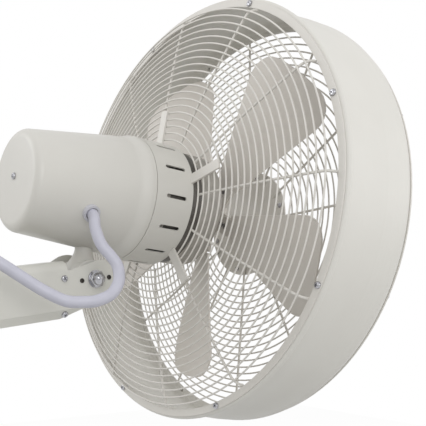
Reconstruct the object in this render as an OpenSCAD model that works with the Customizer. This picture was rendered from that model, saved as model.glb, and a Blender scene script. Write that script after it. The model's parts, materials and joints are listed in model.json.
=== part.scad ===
// Wall fan: a drum guard and five blades on a motor head that tilts on a wall arm.
// The wall lies at y = 0, the fan blows towards -Y, and +Z is up. Millimetres.

/* [Wall plate] */
// Width of the wall plate
plate_w = 130; // [124:1:160]
// Height of the wall plate
plate_h = 240; // [226:1:300]
// Thickness of the wall plate
plate_t = 6; // [4:0.5:10]
// Corner radius of the wall plate
plate_corner = 14; // [4:1:20]
// Distance across between the wall holes
hole_span_x = 96; // [94:1:104]
// Distance up and down between the wall holes
hole_span_z = 200; // [196:1:206]
// Radius of each wall hole
wall_hole_r = 4.5; // [3:0.1:6]

/* [Terminal box] */
// Width of the terminal box
box_w = 68; // [56:1:74]
// Height of the terminal box
box_h = 80; // [60:1:84]
// Depth of the terminal box body
box_d = 43; // [30:1:60]
// Wall of the terminal box
box_wall = 2.5; // [1.5:0.1:4]
// Thickness of the lid
lid_t = 3; // [2:0.1:5]
// Height of the middle of the box above the middle of the plate
box_z = 64; // [60:1:66]

/* [Arm] */
// Distance from the wall to the tilt pivot
pivot_out = 330; // [300:1:400]
// Angle at which the arm rises towards the fan
arm_rise = 7; // [4:0.5:10]
// Height of the arm's root on the plate, below its middle
arm_root_drop = 45; // [42:1:50]
// Width of the arm
arm_w = 64; // [58:1:72]
// Height of the arm above the pivot
arm_above = 22.8; // [20:0.1:25]
// Height of the arm below the pivot
arm_below = 37.4; // [34:0.1:42]
// Sheet thickness of the arm
arm_wall = 2.5; // [1.5:0.1:3]
// Radius of the arm's top edges
arm_edge = 10; // [8:0.5:12]
// Height of the bevelled bottom cover
cover_h = 9; // [7:0.5:11]
// Thickness of the foot that joins the arm to the plate
foot_t = 5; // [4:0.5:8]

/* [Pivot] */
// Radius of the arm's round tip
tip_r = 23.5; // [21:0.5:25]
// Distance from the pivot back to the slot's end in the arm's top
slot_back = 33; // [31:0.5:36]
// Radius of the pivot bolt
pivot_r = 5; // [4:0.1:6]
// Radius of the neck's barrel
barrel_r = 21; // [18:0.5:23]
// Thickness of each fork plate
fork_t = 3; // [2:0.1:4]
// Thickness of each friction washer
friction_t = 1.5; // [1:0.1:2]

/* [Head] */
// Tilt of the head, nose down
head_tilt = 6; // [0:1:15]
// Distance from the guard's rear rim back to the neck
neck_back = 131; // [126:1:140]
// Distance from the fan's axis down to the pivot
neck_drop = 99; // [97:1:110]
// Radius of the neck's post
neck_r = 10; // [8:0.5:12]

/* [Casing] */
// Distance from the rear rim to the seam of the casing
seam_y = 87.4; // [84:0.1:90]
// Radius of the casing at the seam
seam_r = 70.8; // [70.5:0.1:74]
// Distance from the rear rim to the start of the taper
waist_y = 109; // [106:1:114]
// Radius of the casing at the start of the taper
waist_r = 65.2; // [65:0.1:68]
// Distance from the rear rim to the rear face
face_y = 226; // [210:1:240]
// Radius of the casing at the rear face
tail_r = 55; // [52:0.1:60]
// Radius of the rounded rear edge
tail_edge = 14; // [8:0.5:18]
// Wall of the casing
case_wall = 2.5; // [1.5:0.1:3]
// Drop of the casing's rear end below the fan's axis
tail_drop = 4; // [0:0.5:8]

/* [Vent ring] */
// Distance from the rear rim to the ring's front edge
ring_y = 38.7; // [36:0.1:42]
// Wall of the vent ring
ring_wall = 1.8; // [1.2:0.1:2]
// Number of vent slots
slot_n = 13; // [9:1:16]
// Length of a vent slot
slot_l = 26.6; // [16:0.1:27]
// Width of a vent slot
slot_w = 4.2; // [2:0.1:5]
// Distance from the rear rim to the middle of the slots
slot_y = 60.9; // [58:0.1:62]

/* [Motor] */
// Radius of the motor
motor_r = 65.9; // [63:0.1:66]
// Length of the stator
stator_l = 44; // [36:1:46]
// Radius of the shaft
shaft_r = 6; // [5:0.1:7]
// Radius of the rotor core
rotor_r = 35.4; // [30:0.1:35.4]
// Air gap between the rotor core and the stator
air_gap = 0.6; // [0.3:0.1:1]

/* [Blades] */
// Radius swept by the blade tips
blade_r = 200; // [170:1:215]
// Thickness of a blade
blade_t = 2; // [1.2:0.1:3]
// Angle between a blade's two side edges
blade_span = 38; // [30:1:44]
// Pitch of a blade
blade_pitch = 16; // [10:1:20]
// Radius of the blade's camber
camber_r = 260; // [220:10:400]
// Distance from the rear rim forward to the blades' middle
blade_y = 42; // [40:1:46]
// Angle of the first blade
blade_turn = 48; // [0:1:72]

/* [Drum] */
// Outer radius of the drum's rear bead
drum_r = 250; // [248:0.5:256]
// Depth of the drum
drum_depth = 98; // [94:1:110]
// Sheet thickness of the drum
drum_wall = 1.6; // [1:0.1:2]
// Turn of the guards' wires about the axis
guard_turn = 3.5; // [-10:0.5:10]
// Turn of the rim screws about the axis
screw_turn = 0; // [-10:0.5:10]
// Width of the flat rim bands
band_w = 8; // [7:0.5:8.5]
// Thickness of the flat rim bands
band_t = 1.6; // [1:0.1:2]
// Number of rim screws
rim_screw_n = 8; // [6:1:12]

/* [Guards] */
// Number of rings in each guard
ring_n = 20; // [12:1:22]
// Radius of the smallest ring
ring_in = 77.5; // [76:0.5:82]
// Distance from the rim band to the largest ring
ring_edge = 5.5; // [4:0.5:10]
// Diameter of the ring wire
ring_wire = 1.9; // [1.6:0.1:2.6]
// Number of spokes in each guard
spoke_n = 12; // [8:1:16]
// Diameter of the spoke wire
spoke_wire = 2.8; // [2.4:0.1:4]
// Dome radius of the rear guard
rear_dome = 1000; // [900:10:1400]
// Radius of the bend that brings the rear guard's dome down to its rim
guard_bend = 16; // [14:0.5:20]
// Dome radius of the front guard
front_dome = 4300; // [3000:100:8000]
// Radius of the front centre disc
disc_r = 66; // [60:1:72]
// Number of flat straps
strap_n = 5; // [3:1:6]
// Width of a strap
strap_w = 11; // [8:0.5:14]
// Thickness of a strap
strap_t = 2.5; // [1.5:0.1:3]
// Radius at which the straps end
strap_r = 113; // [105:1:130]

/* [Cord] */
// Diameter of the cord
cord_d = 12; // [10:0.5:12.5]

/* [Hidden] */
$fn = 64;

// Gap between two faces that rest on each other
seat = 0.05;
// Clearance round a screw shank
screw_gap = 0.1;
// Height of an M4 pan head, its radius, and the shank's radius
pan_h = 2.4;
pan_r = 3.6;
pan_shank = 2;
cream = [0.84, 0.83, 0.80];
cream_dark = [0.76, 0.75, 0.72];
chrome = [0.80, 0.80, 0.82];
steel = [0.62, 0.62, 0.63];
motor_grey = [0.40, 0.39, 0.38];

// Points of an arc round (cx, cy), from angle a0 to angle a1 in n steps
function arc(cx, cy, r, a0, a1, n) =
    [for (i = [0:n]) let (a = a0 + (a1 - a0) * i / n) [cx + r * cos(a), cy + r * sin(a)]];

// Outline of a rectangle with round corners, centred
function round_rect(w, h, r) = concat(
    arc(w / 2 - r, h / 2 - r, r, 0, 90, 6), arc(r - w / 2, h / 2 - r, r, 90, 180, 6),
    arc(r - w / 2, r - h / 2, r, 180, 270, 6), arc(w / 2 - r, r - h / 2, r, 270, 360, 6));

function reversed(list) = [for (i = [len(list) - 1:-1:0]) list[i]];

// Turns +Z to +Y, so that a turned part's stations run back from the rear rim
module turned() rotate([-90, 0, 0]) children();

// Puts what is drawn on the -X side at an angle about the fan's axis
module at_angle(a) rotate([0, a, 0]) children();

// A plate that stands on the XZ plane and grows towards -Y
module plate(points, t) rotate([90, 0, 0]) linear_extrude(t) polygon(points);

// A pan head screw along Z: the head stands on z = 0 and the shank goes down
module pan_screw(length, head_r = pan_r, head_h = pan_h, shank_r = pan_shank) {
    crown_r = head_h * 0.55;
    rotate_extrude() polygon(concat([[0, 0], [head_r, 0], [head_r, head_h - crown_r]],
        arc(head_r - crown_r, head_h - crown_r, crown_r, 20, 90, 3), [[0, head_h]]));
    translate([0, 0, -length]) cylinder(h = length + 0.2, r = shank_r);
}

module hex(across, h) cylinder(h = h, r = across / 2 / cos(30), $fn = 6);

// Arm and pivot places
arm_mid = (arm_above - arm_below) / 2;
arm_l = (pivot_out - arm_mid * sin(arm_rise)) / cos(arm_rise);
pivot_z = arm_l * sin(arm_rise) - arm_mid * cos(arm_rise) - arm_root_drop;
foot_y = plate_t + foot_t;

module in_arm() translate([0, -pivot_out, pivot_z]) rotate([-arm_rise, 0, 0]) children();
module in_head()
    translate([0, -pivot_out, pivot_z]) rotate([head_tilt, 0, 0]) translate([0, -neck_back, neck_drop]) children();

// Wall side

wall_spots = [for (x = [-1, 1], z = [-1, 1]) [x * hole_span_x / 2, z * hole_span_z / 2]];
foot_w = arm_w + 22;
foot_h = arm_above + arm_below + 27;
foot_screw_r = 3;
foot_spots = [for (x = [-1, 1], z = [-1, 1]) [x * (foot_w / 2 - 7), z * (foot_h / 2 - 7) - arm_root_drop]];
box_screw = 2;
box_spots = [for (x = [-1, 1], z = [-1, 1]) [x * (box_w / 2 - 6), box_z + z * (box_h / 2 - 6)]];
box_corner = 8;
gland_x = -14;
gland_thread = 10;
gland_across = 26;
gland_hex = 7;
gland_nose = 22;

module wall_plate() color(cream) difference() {
    plate(round_rect(plate_w, plate_h, plate_corner), plate_t);
    for (p = wall_spots) translate([p.x, 1, p.y]) rotate([90, 0, 0]) cylinder(h = plate_t + 2, r = wall_hole_r);
    for (p = foot_spots)
        translate([p.x, 1, p.y]) rotate([90, 0, 0]) cylinder(h = plate_t + 2, r = foot_screw_r + screw_gap);
    for (p = box_spots)
        translate([p.x, 1, p.y]) rotate([90, 0, 0]) cylinder(h = plate_t + 2, r = box_screw + screw_gap);
}

module arm_foot() color(cream) difference() {
    translate([0, -plate_t, -arm_root_drop]) plate(round_rect(foot_w, foot_h, 8), foot_t);
    for (p = foot_spots)
        translate([p.x, 1, p.y]) rotate([90, 0, 0]) cylinder(h = foot_y + 2, r = foot_screw_r + screw_gap);
}

module foot_screws() color(chrome) for (p = foot_spots)
    translate([p.x, -foot_y, p.y]) rotate([90, 0, 0]) pan_screw(foot_y - 0.5, 5.5, 3.6, foot_screw_r);

module terminal_box() color(cream) difference() {
    translate([0, -plate_t, box_z]) plate(round_rect(box_w, box_h, box_corner), box_d);
    translate([0, -plate_t - box_wall, box_z])
        plate(round_rect(box_w - 2 * box_wall, box_h - 2 * box_wall, box_corner - box_wall), box_d);
    for (p = box_spots)
        translate([p.x, 1, p.y]) rotate([90, 0, 0]) cylinder(h = plate_t + box_wall + 2, r = box_screw + screw_gap);
}

module terminal_lid() color(cream) difference() {
    translate([0, -plate_t - box_d - seat, box_z]) plate(round_rect(box_w, box_h, box_corner), lid_t);
    for (p = box_spots) translate([p.x, -plate_t - box_d + 1, p.y])
        rotate([90, 0, 0]) cylinder(h = lid_t + 3, r = box_screw + screw_gap);
    translate([gland_x, -plate_t - box_d + 1, box_z]) rotate([90, 0, 0]) cylinder(h = lid_t + 3, r = gland_thread);
}

lid_face = plate_t + box_d + seat + lid_t;

module lid_screws() color(chrome) for (p = box_spots)
    translate([p.x, -lid_face, p.y]) rotate([90, 0, 0]) pan_screw(lid_face - 0.5);

// Screwed gland: thread through the lid, hexagon, and a tapered nose round the cord
module wall_gland() color(cream_dark) translate([gland_x, -lid_face, box_z]) rotate([90, 0, 0]) difference() {
    union() {
        translate([0, 0, -lid_t - 8]) cylinder(h = lid_t + 8.5, r = gland_thread - screw_gap);
        translate([0, 0, -lid_t - seat - 5]) hex(gland_across, 5);
        hex(gland_across, gland_hex);
        translate([0, 0, gland_hex - 0.2])
            cylinder(h = gland_nose - gland_hex + 0.2, r1 = 11.5, r2 = cord_d / 2 + 2);
    }
    translate([0, 0, 4]) cylinder(h = gland_nose, r = cord_d / 2 + 0.6);
}

// Arm

fold_v = cover_h - arm_below;
cheek_x = arm_w / 2 - arm_wall;
corner_d = sqrt(pow(arm_below, 2) + pow(46, 2));
tip_corner = [sqrt(pow(corner_d, 2) - pow(arm_below, 2)), -arm_below];
tangent_a = atan2(tip_corner.y, tip_corner.x) - acos(tip_r / corner_d);
far_tip_r = tip_r + 5;

// Cross-section of the upper shell, x across and y up
function shell_section() = concat(
    [[arm_w / 2, fold_v]], arc(arm_w / 2 - arm_edge, arm_above - arm_edge, arm_edge, 0, 90, 8),
    arc(arm_edge - arm_w / 2, arm_above - arm_edge, arm_edge, 90, 180, 8), [[-arm_w / 2, fold_v]],
    [[-cheek_x, fold_v]],
    reversed(arc(arm_edge - arm_w / 2, arm_above - arm_edge, arm_edge - arm_wall, 90, 180, 8)),
    reversed(arc(arm_w / 2 - arm_edge, arm_above - arm_edge, arm_edge - arm_wall, 0, 90, 8)), [[cheek_x, fold_v]]);

near_top = tip_r - 4;

// Upper edge of the near cheek, set in by a distance: flat, then rising slowly to the round tip
function near_edge(inset) = let (flat_v = arm_above - arm_edge - inset)
    [[slot_back - 4, flat_v], [2, near_top - 1.2 - inset], [-3, near_top - inset]];

// Side outlines of the two cheeks: round tip, falling edge below, flat strip up to the top edge's bend
function cheek_outline(upper, r, a) = concat(
    [[slot_back + 25, arm_above - arm_edge]], upper, arc(0, 0, r, a, 360 + tangent_a, 20),
    [[tip_corner.x * 0.27, fold_v], [slot_back + 25, fold_v]]);

module from_side(points, x0, x1)
    translate([x0, 0, 0]) rotate([90, 0, 90]) linear_extrude(x1 - x0) polygon(points);

module along_arm(points, u0, u1)
    translate([0, u1, 0]) rotate([90, 0, 0]) linear_extrude(u1 - u0) polygon(points);

// What lies wallward of the foot's face
module beyond_foot() translate([-200, -foot_y - seat, -300]) cube([400, 300, 600]);

fork_screw_u = 17;
side_screw_u = 38;
side_screw_v = 4.5;
fork_back = side_screw_u + 8;
low_screw_u = 41;
back_screw_u = arm_l - 60;
cover_wall = 2;
bevel_in = 5;
bevel_a = atan(bevel_in / (cover_h - seat));
tab_half = 9;
tab_top = fold_v + 9;

// A place on the middle of the cover's bevel, with +Z square to its face
module bevel_places() for (side = [-1, 1], u = [low_screw_u, back_screw_u])
    translate([side * (arm_w - bevel_in) / 2, u, (fold_v - seat - arm_below) / 2])
        rotate([0, side * (90 + bevel_a), 0]) children();

// Distance across at height v of a line that runs parallel to the bevel, set in by a distance
function bevel_x(inset, v) = arm_w / 2 - inset / cos(bevel_a) - (fold_v - seat - v) * tan(bevel_a);

module shell_holes() {
    rotate([0, 90, 0]) cylinder(h = 200, r = pivot_r + screw_gap, center = true);
    for (p = [[-fork_screw_u, 0], [fork_screw_u, 0], [side_screw_u, side_screw_v]])
        translate([0, p.x, p.y]) rotate([0, 90, 0]) cylinder(h = 200, r = pan_shank + screw_gap, center = true);
    bevel_places() cylinder(h = 30, r = pan_shank + screw_gap, center = true);
}

// Tabs of the shell that stand behind the cover's bevel and take its screws
module shell_tabs() {
    out = cover_wall + seat;
    in = 2 * cover_wall + seat;
    low = 3 - arm_below;
    for (side = [0, 1], u = [low_screw_u, back_screw_u]) mirror([side, 0, 0])
        along_arm([[cheek_x + 0.1, tab_top], [cheek_x + 0.1, fold_v], [bevel_x(out, fold_v - 0.5), fold_v - 0.5],
            [bevel_x(out, low), low], [bevel_x(in, low), low], [bevel_x(in, fold_v), fold_v],
            [cheek_x - cover_wall, tab_top]], u - tab_half, u + tab_half);
}

module arm_shell() color(cream) difference() {
    in_arm() difference() {
        union() {
            along_arm(shell_section(), slot_back, arm_l + 20);
            from_side(cheek_outline(near_edge(0), tip_r, 180 - asin(near_top / tip_r)), -arm_w / 2, -cheek_x);
            from_side(cheek_outline([[slot_back + 6, arm_above - arm_edge]], far_tip_r, 64), cheek_x, arm_w / 2);
            shell_tabs();
        }
        shell_holes();
    }
    beyond_foot();
}

// Bottom cover: a bevelled pan with two lips that stand inside the shell behind the fork plates
lip_h = 12;
lip_x = cheek_x - seat;
module arm_bottom_cover() color(cream) difference() {
    floor_v = cover_wall - arm_below;
    in_arm() difference() {
        union() {
            along_arm([[-arm_w / 2, fold_v - seat], [bevel_in - arm_w / 2, -arm_below],
                [arm_w / 2 - bevel_in, -arm_below], [arm_w / 2, fold_v - seat],
                [bevel_x(cover_wall, fold_v - seat), fold_v - seat], [bevel_x(cover_wall, floor_v), floor_v],
                [-bevel_x(cover_wall, floor_v), floor_v],
                [-bevel_x(cover_wall, fold_v - seat), fold_v - seat]], 12, arm_l + 20);
            for (side = [0, 1]) mirror([side, 0, 0])
                along_arm([[lip_x, fold_v - seat - 1], [lip_x, fold_v + lip_h],
                    [lip_x - cover_wall, fold_v + lip_h], [lip_x - cover_wall, fold_v - seat - 4]],
                    low_screw_u + tab_half + 3, arm_l + 20);
        }
        rotate([tangent_a + 90, 0, 0]) translate([-100, -100, -100 - tip_r]) cube([200, 200, 100]);
        translate([-100, back_screw_u - tab_half - 0.5, fold_v - seat - 0.01]) cube([200, 2 * tab_half + 1, 100]);
        for (side = [0, 1]) mirror([side, 0, 0])
            along_arm([[bevel_x(cover_wall, fold_v), fold_v], [bevel_x(cover_wall, floor_v), floor_v],
                [0, floor_v], [0, fold_v]], back_screw_u - tab_half - 0.5, back_screw_u + tab_half + 0.5);
        shell_holes();
    }
    beyond_foot();
}

// Pan screws on both sides of the arm: the side pair holds the fork plates, the bevel screws hold the cover
module cover_screws() color(chrome) in_arm() {
    for (side = [-1, 1])
        translate([side * arm_w / 2, side_screw_u, side_screw_v]) rotate([0, side * 90, 0]) pan_screw(arm_wall + fork_t);
    bevel_places() pan_screw(7);
}

fork_face = cheek_x - seat;
module fork_plates() color(steel) in_arm() difference() {
    for (side = [0, 1]) mirror([side, 0, 0])
        from_side(concat([[fork_back, arm_above - arm_edge - 1.5]], near_edge(1.5),
            arc(0, 0, tip_r - 2, 180 - asin((near_top - 1.5) / (tip_r - 2)), 300, 16), [[fork_back, 8 - tip_r]]),
            fork_face - fork_t, fork_face);
    shell_holes();
}

module fork_screws() color(motor_grey) in_arm() for (side = [-1, 1], u = [-fork_screw_u, fork_screw_u])
    translate([side * arm_w / 2, u, 0]) rotate([0, side * 90, 0])
        pan_screw(arm_wall + fork_t, 2.6, 1.2, pan_shank);

washer_face = fork_face - fork_t - seat;
module friction_washers() color([0.30, 0.28, 0.26]) in_arm() for (side = [-1, 1])
    translate([side * (washer_face - friction_t / 2), 0, 0]) rotate([0, 90, 0]) difference() {
        cylinder(h = friction_t, r = barrel_r - 5, center = true);
        cylinder(h = friction_t + 1, r = pivot_r + screw_gap, center = true);
    }
barrel_x = washer_face - friction_t - seat;

pivot_washer_t = 1.5;
bolt_face = arm_w / 2 + seat + pivot_washer_t + seat;
nut_across = 16;
nut_hex = 4.5;
nut_dome = 7.2;
module pivot_bolt() color(chrome) in_arm() {
    translate([-bolt_face - nut_hex, 0, 0]) rotate([0, 90, 0]) cylinder(h = 2 * bolt_face + nut_hex + 0.5, r = pivot_r);
    translate([bolt_face, 0, 0]) rotate([0, 90, 0]) hex(nut_across, 6.4);
}

module pivot_washers() color(chrome) in_arm() for (side = [-1, 1])
    translate([side * (arm_w / 2 + seat + pivot_washer_t / 2), 0, 0]) rotate([0, 90, 0]) difference() {
        cylinder(h = pivot_washer_t, r = nut_across / 2 + 1.5, center = true);
        cylinder(h = pivot_washer_t + 1, r = pivot_r + screw_gap, center = true);
    }

module acorn_nut() color(chrome) in_arm() translate([-bolt_face, 0, 0]) rotate([0, -90, 0]) difference() {
    union() {
        hex(nut_across, nut_hex);
        translate([0, 0, nut_hex]) rotate_extrude()
            polygon(concat([[0, -1], [nut_dome, -1]], arc(0, 0, nut_dome, 0, 90, 10)));
    }
    translate([0, 0, -1]) cylinder(h = nut_hex + 2, r = pivot_r + seat);
}

// Casing

tail_slope = (waist_r - tail_r) / (face_y - waist_y);
droop = asin(tail_drop / (face_y - waist_y));

// Tilts the casing's tail down about the start of its taper
module in_tail() translate([0, waist_y, 0]) rotate([-droop, 0, 0]) children();

// The casing's outer form, set in by a wall thickness
module casing_form(inset, front) {
    turned() rotate_extrude() polygon(concat([[0, front], [seam_r - inset, front], [seam_r - inset, seam_y + 3]],
        [for (i = [1:7]) [waist_r + (seam_r - waist_r) * (1 + cos(180 * i / 8)) / 2 - inset,
            seam_y + 3 + (waist_y - seam_y - 3) * i / 8]],
        [[waist_r - inset, waist_y], [0, waist_y]]));
    in_tail() turned() rotate_extrude() polygon(concat([[0, -6], [waist_r - 0.3 - inset, -6]],
        arc(tail_r - tail_edge + tail_slope * tail_edge, face_y - waist_y - tail_edge, tail_edge - inset, 0, 90, 6),
        [[0, face_y - waist_y - inset]]));
}

grommet_a = -31;
grommet_y = 48;
grommet_r = waist_r - grommet_y * tail_slope;
grommet_hole = cord_d / 2 + 1.6;
case_gap = 0.2;
spigot_l = 8;
neck_spigot_r = 6;

module rear_casing() color(cream) in_head() {
    difference() {
        union() {
            difference() {
                casing_form(0, seam_y + case_gap);
                casing_form(case_wall, seam_y - 2);
            }
            turned() translate([0, 0, seam_y - spigot_l]) difference() {
                cylinder(h = spigot_l + 4, r = seam_r - ring_wall - 2 * seat);
                translate([0, 0, -1]) cylinder(h = spigot_l + 6, r = seam_r - ring_wall - 2 * seat - 1.8);
            }
            in_tail() turned() translate([0, -tail_drop, face_y - waist_y - 12]) cylinder(h = 11, r = 5);
        }
        in_tail() at_angle(grommet_a) translate([-grommet_r + 8, grommet_y, 0])
            rotate([0, -90, 0]) cylinder(h = 20, r = grommet_hole + 0.1);
        translate([0, neck_back, -neck_drop]) cylinder(h = neck_drop, r = neck_spigot_r + screw_gap);
        in_tail() turned() translate([0, -tail_drop, face_y - waist_y - 14])
            cylinder(h = 20, r = pan_shank + screw_gap);
    }
}

// Long tie screw from the rear face to the nut on the electrics plate
module rear_screw() color(chrome) in_head() in_tail()
    turned() translate([0, -tail_drop, face_y - waist_y]) pan_screw(face_y - elec_y + 3);

// Grommet: a collar outside, a sleeve through the wall and a flange inside
grommet_bore = cord_d / 2 + 0.8;
module cord_grommet() color([0.78, 0.78, 0.80]) in_head() difference() {
    union() {
        difference() {
            in_tail() at_angle(grommet_a) translate([-grommet_r + 2, grommet_y, 0])
                rotate([0, -90, 0]) cylinder(h = 5.5, r = grommet_hole + 1.8);
            casing_form(-seat, seam_y);
        }
        in_tail() at_angle(grommet_a) translate([-grommet_r + 9, grommet_y, 0])
            rotate([0, -90, 0]) cylinder(h = 11, r = grommet_hole);
        in_tail() at_angle(grommet_a) translate([-grommet_r + 9, grommet_y, 0])
            rotate([0, -90, 0]) cylinder(h = 4, r = grommet_hole + 1.5);
    }
    in_tail() at_angle(grommet_a) translate([-grommet_r + 6, grommet_y, 0])
        rotate([0, -90, 0]) cylinder(h = 20, r = grommet_bore);
}

// Neck: barrel on the pivot, flared foot and post, cut to the casing's underside
module neck() color(cream) in_head() difference() {
    union() {
        translate([0, neck_back, -neck_drop]) rotate([0, 90, 0]) cylinder(h = 2 * barrel_x, r = barrel_r, center = true);
        difference() {
            translate([0, neck_back, -neck_drop]) rotate_extrude() polygon([[0, 0], [barrel_r, 0], [barrel_r, 5],
                [barrel_r * 0.9 + neck_r * 0.1, 12], [barrel_r * 0.7 + neck_r * 0.3, 18],
                [barrel_r * 0.45 + neck_r * 0.55, 23], [barrel_r * 0.2 + neck_r * 0.8, 28], [neck_r, 33],
                [neck_r, neck_drop - waist_r + 6], [0, neck_drop - waist_r + 6]]);
            casing_form(-seat, seam_y);
        }
        translate([0, neck_back, -neck_drop]) cylinder(h = neck_drop - waist_r + case_wall + 14, r = neck_spigot_r);
    }
    translate([0, neck_back, -neck_drop]) rotate([0, 90, 0]) cylinder(h = 100, r = pivot_r + seat, center = true);
}

module neck_nut() color(steel) in_head() difference() {
    intersection() {
        translate([0, neck_back, -waist_r]) hex(22, 15);
        casing_form(case_wall + seat, seam_y);
    }
    translate([0, neck_back, -waist_r - 1]) cylinder(h = 20, r = neck_spigot_r + seat);
}

// Vent ring and straps

ring_bore = seam_r - ring_wall;
strap_in_r = motor_r + 0.6;
guard_edge = drum_r - 11;
wire_step = (ring_wire + spoke_wire) / 2 + seat;

// The rear guard's dome and the bend at its rim: the bend's middle, the angle where they meet, the dome's middle
bend_at = [guard_edge - 0.4 - spoke_wire / 2 - guard_bend + wire_step, 0.2 - band_t];
bend_a = asin(bend_at.x / (rear_dome - guard_bend));
dome_at = bend_at.y - (rear_dome - guard_bend) * cos(bend_a);
function rear_y(r) = r < rear_dome * sin(bend_a) ? dome_at + sqrt(pow(rear_dome, 2) - r * r)
    : bend_at.y + sqrt(pow(guard_bend, 2) - pow(r - bend_at.x, 2));

// The straps run straight, close above the rings, from the motor through the vent ring's wall
strap_rise = (ring_wire + strap_t) / 2 + 0.35;
strap_out_y = rear_y(strap_r) + strap_rise;
strap_in_y = rear_y(ring_in) + strap_rise
    + (ring_in - strap_in_r) * (rear_y(ring_in) - rear_y(strap_r)) / (strap_r - ring_in);
strap_lean = atan((strap_in_y - strap_out_y) / (strap_r - strap_in_r));
strap_l = (strap_r - strap_in_r) / cos(strap_lean);

module straps(grow) for (k = [0:strap_n - 1])
    at_angle(18 + 360 / strap_n * k) translate([-(strap_r + strap_in_r) / 2, (strap_in_y + strap_out_y) / 2, 0])
        rotate([0, 0, strap_lean]) cube([strap_l, strap_t + 2 * grow, strap_w + 2 * grow], center = true);

module guard_straps() color(cream) in_head() straps(0);

module vent_ring() color(cream) in_head() difference() {
    turned() translate([0, 0, ring_y]) difference() {
        cylinder(h = seam_y - case_gap - ring_y, r = seam_r);
        translate([0, 0, -1]) cylinder(h = seam_y - ring_y + 2, r = ring_bore);
    }
    for (k = [0:slot_n - 1]) at_angle(-1.8 + 360 / slot_n * k) {
        translate([-seam_r, slot_y, 0]) cube([10, slot_l - slot_w, slot_w], center = true);
        for (end = [-1, 1]) translate([-seam_r, slot_y + end * (slot_l - slot_w) / 2, 0])
            rotate([0, 90, 0]) cylinder(h = 10, r = slot_w / 2, center = true);
    }
    straps(0.1);
}

// Motor

bell_y = -9;
stator_y = 22;
stator_end = stator_y + stator_l;
bell_wall = 3.5;
bell_end = stator_end + 20;
bearing_r = 16;
bearing_l = 10;
bolt_ring = 57;
motor_bolt_r = 2.5;
sleeve_l = 18;
elec_y = bell_end + sleeve_l;
elec_t = 2;
coil_r = 53.5;

module bolt_holes(y0, y1) for (a = [45:90:315]) at_angle(a)
    translate([-bolt_ring, y0, 0]) turned() cylinder(h = y1 - y0, r = motor_bolt_r + screw_gap);

module motor_front_bell() color(motor_grey) in_head() difference() {
    turned() {
        rotate_extrude() polygon(concat([[0, bell_y], [motor_r - 4, bell_y]], arc(motor_r - 4, bell_y + 4, 4, -90, 0, 4),
            [[motor_r, stator_y - seat], [motor_r - bell_wall, stator_y - seat], [motor_r - bell_wall, bell_y + 4],
            [0, bell_y + 4]]));
        translate([0, 0, bell_y - 8]) cylinder(h = 16, r = bearing_r + 6);
    }
    turned() translate([0, 0, bell_y - 2]) cylinder(h = 20, r = bearing_r + seat);
    turned() translate([0, 0, bell_y - 9]) cylinder(h = 20, r = shaft_r + 1);
    for (k = [0:5]) at_angle(60 * k) translate([-40, bell_y - 1, 0]) turned() cylinder(h = 6, r = 7);
    bolt_holes(bell_y - 1, bell_y + 6);
}

module stator_core() color([0.45, 0.44, 0.43]) in_head() difference() {
    turned() translate([0, 0, stator_y]) cylinder(h = stator_l, r = motor_r);
    turned() translate([0, 0, stator_y - 1]) cylinder(h = stator_l + 2, r = rotor_r + air_gap);
    bolt_holes(stator_y - 1, stator_end + 1);
}

// The two coil heads of the stator
module windings() color([0.72, 0.40, 0.22]) in_head() turned() for (y = [stator_y - seat - 12, stator_end + seat])
    translate([0, 0, y]) rotate_extrude()
        translate([(coil_r + rotor_r + 2.6) / 2, 6]) polygon(round_rect(coil_r - rotor_r - 2.6, 12, 4));

module motor_rear_bell() color(motor_grey) in_head() difference() {
    turned() {
        rotate_extrude() polygon([[0, bell_end - 4], [motor_r - bell_wall, bell_end - 4],
            [motor_r - bell_wall, stator_end + seat], [motor_r, stator_end + seat], [motor_r, stator_end + 8],
            [ring_bore - 0.1, stator_end + 8], [ring_bore - 0.1, stator_end + 13], [motor_r, stator_end + 13],
            [motor_r, bell_end], [0, bell_end]]);
        translate([0, 0, bell_end - 4]) cylinder(h = 15, r = bearing_r + 6);
    }
    turned() translate([0, 0, bell_end - 5]) cylinder(h = bearing_l + 1, r = bearing_r + seat);
    turned() translate([0, 0, bell_end - 5]) cylinder(h = 20, r = shaft_r + 1.5);
    bolt_holes(bell_end - 6, bell_end + 2);
}

rear_bearing_y = bell_end - 5;
module bearings() color(steel) in_head() turned() for (y = [bell_y - 2, rear_bearing_y]) translate([0, 0, y]) difference() {
    cylinder(h = bearing_l, r = bearing_r);
    translate([0, 0, -1]) cylinder(h = bearing_l + 2, r = shaft_r + seat);
}

module motor_bolts() color(steel) in_head() for (a = [45:90:315]) at_angle(a) translate([-bolt_ring, 0, 0]) turned() {
    translate([0, 0, bell_y - 3.2]) hex(8, 3.2);
    translate([0, 0, bell_y - 0.1]) cylinder(h = elec_y + elec_t + 6 - bell_y, r = motor_bolt_r);
    translate([0, 0, elec_y + elec_t]) hex(8, 4);
}

module spacer_sleeves() color(steel) in_head() for (a = [45:90:315]) at_angle(a)
    translate([-bolt_ring, bell_end + seat, 0]) turned() difference() {
        cylinder(h = sleeve_l - 2 * seat, r = 4.5);
        translate([0, 0, -1]) cylinder(h = sleeve_l + 2, r = motor_bolt_r + screw_gap);
    }

module electrics_plate() color(steel) in_head() difference() {
    union() {
        turned() translate([0, 0, elec_y]) cylinder(h = elec_t - seat, r = waist_r - case_wall - 1.5);
        in_tail() turned() translate([0, -tail_drop, elec_y - waist_y - 3.5]) hex(8, 4);
    }
    bolt_holes(elec_y - 1, elec_y + elec_t + 1);
    in_tail() turned() translate([0, -tail_drop, elec_y - waist_y - 10]) cylinder(h = 20, r = pan_shank + screw_gap);
}

module capacitor() color([0.85, 0.85, 0.86]) in_head()
    translate([24, elec_y + elec_t, 18]) turned() rotate_extrude()
        polygon(concat([[0, 0]], arc(14, 3, 3, -90, 0, 4), arc(14, 55, 3, 0, 90, 4), [[0, 58]]));

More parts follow.
